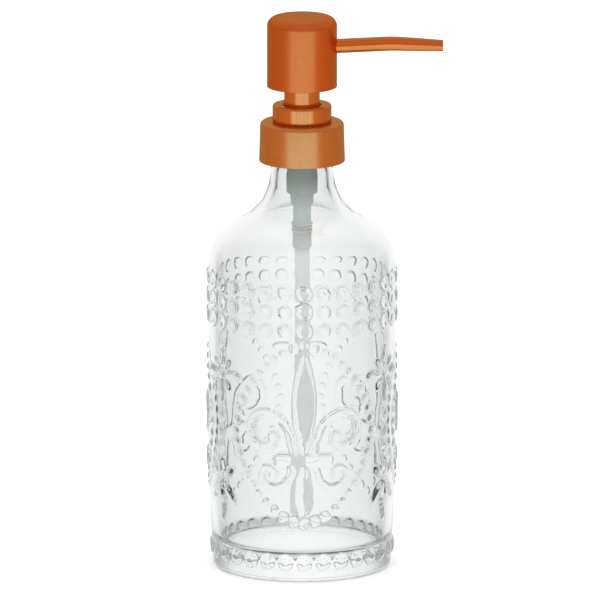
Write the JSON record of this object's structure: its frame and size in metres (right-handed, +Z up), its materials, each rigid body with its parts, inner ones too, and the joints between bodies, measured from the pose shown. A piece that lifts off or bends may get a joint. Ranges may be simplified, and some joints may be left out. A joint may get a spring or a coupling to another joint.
{
  "type": "soap pump dispenser",
  "caption": "Embossed clear glass bottle with a copper-coloured screw-on lotion pump: pressing the head sends liquid soap out of a slender side spout.",
  "frame": {"origin": "middle of the bottle's flat foot, on the bottle's and the pump's common axis", "axes": "+Z up along the bottle's axis, +X along the spout at rest, -Y the side that shows a lily motif"},
  "size_m": [0.0998, 0.0816, 0.2355],
  "materials": {
    "clear_glass": "clear pressed glass with embossed relief",
    "gasket_rubber": "matt flat washer",
    "natural_plastic": "translucent natural polypropylene",
    "milky_plastic": "milky translucent polyethylene",
    "white_plastic": "moulded white polypropylene",
    "bright_steel": "bright stainless steel",
    "satin_copper": "satin copper plate over a steel shell",
    "bright_copper": "polished copper plate over steel"
  },
  "bodies": {
    "bottle": {"glass_bottle": "clear_glass"},
    "pump_unit": {"pump_housing": "natural_plastic", "neck_gasket": "gasket_rubber", "stem_guide": "white_plastic", "ring_shell": "bright_copper", "dip_tube": "milky_plastic", "ball_retainer": "white_plastic", "return_spring": "bright_steel"},
    "closure": {"closure_cap": "white_plastic", "collar_shell": "satin_copper"},
    "plunger": {"piston_rod": "white_plastic", "piston_seal": "milky_plastic", "pump_stem": "white_plastic"},
    "head": {"head_core": "white_plastic", "head_shell": "satin_copper", "stem_sleeve": "bright_copper", "spout_tube": "bright_copper"},
    "inlet_valve": {"inlet_ball": "bright_steel"},
    "outlet_valve": {"outlet_ball": "bright_steel"}
  },
  "joints": [
    {"name": "pump_lift", "type": "slide", "parent": "bottle", "child": "pump_unit", "axis": [0, 0, 1], "range_m": [0, 0.00529]},
    {"name": "closure_turn", "type": "hinge", "parent": "pump_unit", "child": "closure", "pos_m": [0, 0, 0.18], "axis": [0, 0, 1], "range_deg": [0, 450]},
    {"name": "pump_stroke", "type": "slide", "parent": "pump_unit", "child": "plunger", "axis": [0, 0, -1], "range_m": [0, 0.012], "stiffness_N_per_m": 400, "springref_m": -0.01, "deforming": ["return_spring"]},
    {"name": "head_turn", "type": "hinge", "parent": "plunger", "child": "head", "pos_m": [0, 0, 0.21], "axis": [0, 0, 1], "continuous": true},
    {"name": "inlet_ball_lift", "type": "slide", "parent": "pump_unit", "child": "inlet_valve", "axis": [0, 0, 1], "range_m": [0, 0.0015]},
    {"name": "outlet_ball_lift", "type": "slide", "parent": "plunger", "child": "outlet_valve", "axis": [0, 0, 1], "range_m": [0, 0.0012]}
  ],
  "couplings": [
    {"joint": "closure_turn", "follows": "pump_lift", "rad_per_m": 1484.3}
  ]
}
